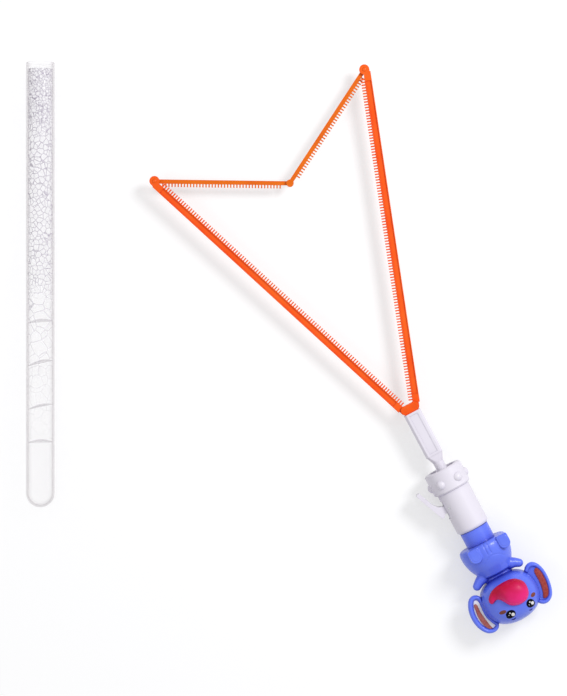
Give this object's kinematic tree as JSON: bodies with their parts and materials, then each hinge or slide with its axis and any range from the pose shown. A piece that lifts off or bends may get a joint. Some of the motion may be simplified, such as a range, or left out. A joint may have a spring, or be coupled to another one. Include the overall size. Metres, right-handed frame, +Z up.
{
  "type": "folding bubble wand",
  "caption": "Folding soap-bubble wand: a lever in the handle opens a comb-edged frame, an elephant sits on the grip's end, and a clear screw-on tube lies beside it.",
  "frame": {"origin": "on the table under the flat back of the figure's head, on the wand's middle plane", "axes": "+Z up from the table, towards the figure's face; +Y along the wand from the figure to the frame's tips; the lever is on the -X side"},
  "size_m": [0.4395, 0.6309, 0.0513],
  "materials": {
    "orange_plastic": "bright orange injection-moulded plastic, slightly see-through at thin edges",
    "amber_plastic": "lighter orange injection-moulded plastic",
    "white_plastic": "smooth white moulded plastic with a faint cool tint",
    "blue_plastic": "smooth mid-blue moulded plastic",
    "pink_plastic": "glossy pink-red paint on moulded plastic",
    "brown_paint": "matt red-brown paint",
    "ink_paint": "glossy near-black pad print",
    "brow_paint": "dark blue pad print",
    "cheek_paint": "matt brown pad print",
    "steel": "plain zinc-plated screws and pins",
    "seal_rubber": "soft black rubber",
    "clear_tube": "clear colourless plastic tube"
  },
  "bodies": {
    "handle": {"frame_hub": "orange_plastic", "hub_cap": "orange_plastic", "stem_upper": "white_plastic", "stem_lower": "white_plastic", "flange_screws": "steel", "rod_seal": "seal_rubber", "screw_collar": "white_plastic", "tube_gasket": "seal_rubber", "handle_barrel": "white_plastic", "trigger_pin": "steel", "throat": "blue_plastic", "elephant_front": "blue_plastic", "elephant_back": "blue_plastic", "shell_screws": "steel", "ear_left": "blue_plastic", "ear_right": "blue_plastic", "ear_linings": "brown_paint", "trunk": "pink_plastic", "arm_stubs": "blue_plastic", "eyes": "ink_paint", "eyebrows": "brow_paint", "cheeks": "cheek_paint"},
    "lever": {"trigger": "white_plastic"},
    "rod": {"pushrod": "white_plastic", "drive_pin": "steel"},
    "arm_left": {"long_arm_left": "orange_plastic", "tip_pin_left": "orange_plastic"},
    "arm_right": {"long_arm_right": "orange_plastic", "tip_pin_right": "orange_plastic"},
    "link_left": {"short_arm_left": "amber_plastic", "mid_pin_lower": "amber_plastic"},
    "link_right": {"short_arm_right": "amber_plastic", "mid_pin_upper": "amber_plastic"},
    "tube": {"tube": "clear_tube"}
  },
  "joints": [
    {"name": "frame_left_fold", "type": "hinge", "parent": "handle", "child": "arm_left", "pos_m": [-0.0046, 0.17046, 0.01761], "axis": [0, 0, 1], "range_deg": [-19.5, 0]},
    {"name": "frame_right_fold", "type": "hinge", "parent": "handle", "child": "arm_right", "pos_m": [0.0046, 0.17046, 0.01761], "axis": [0, 0, 1], "range_deg": [0, 19.5]},
    {"name": "link_left_fold", "type": "hinge", "parent": "arm_left", "child": "link_left", "pos_m": [-0.10341, 0.44948, 0.01761], "axis": [0, 0, 1], "range_deg": [-39.6, 0]},
    {"name": "link_right_fold", "type": "hinge", "parent": "arm_right", "child": "link_right", "pos_m": [0.10341, 0.44948, 0.01761], "axis": [0, 0, 1], "range_deg": [0, 39.6]},
    {"name": "rod_slide", "type": "slide", "parent": "handle", "child": "rod", "axis": [0, 1, 0], "range_m": [0, 0.00252]},
    {"name": "trigger_pull", "type": "hinge", "parent": "handle", "child": "lever", "pos_m": [-0.011, 0.07826, 0.01761], "axis": [0, 0, 1], "range_deg": [0, 8]},
    {"name": "tube_lift", "type": "slide", "parent": "handle", "child": "tube", "axis": [0, 0, 1], "range_m": [0, 0.12]}
  ],
  "couplings": [
    {"joint": "frame_right_fold", "follows": "frame_left_fold", "ratio": -1},
    {"joint": "link_left_fold", "follows": "frame_left_fold", "ratio": 2.0241},
    {"joint": "link_right_fold", "follows": "frame_left_fold", "ratio": -2.0241},
    {"joint": "rod_slide", "follows": "frame_left_fold", "m_per_rad": -0.0073786},
    {"joint": "trigger_pull", "follows": "frame_left_fold", "ratio": -0.41026}
  ]
}
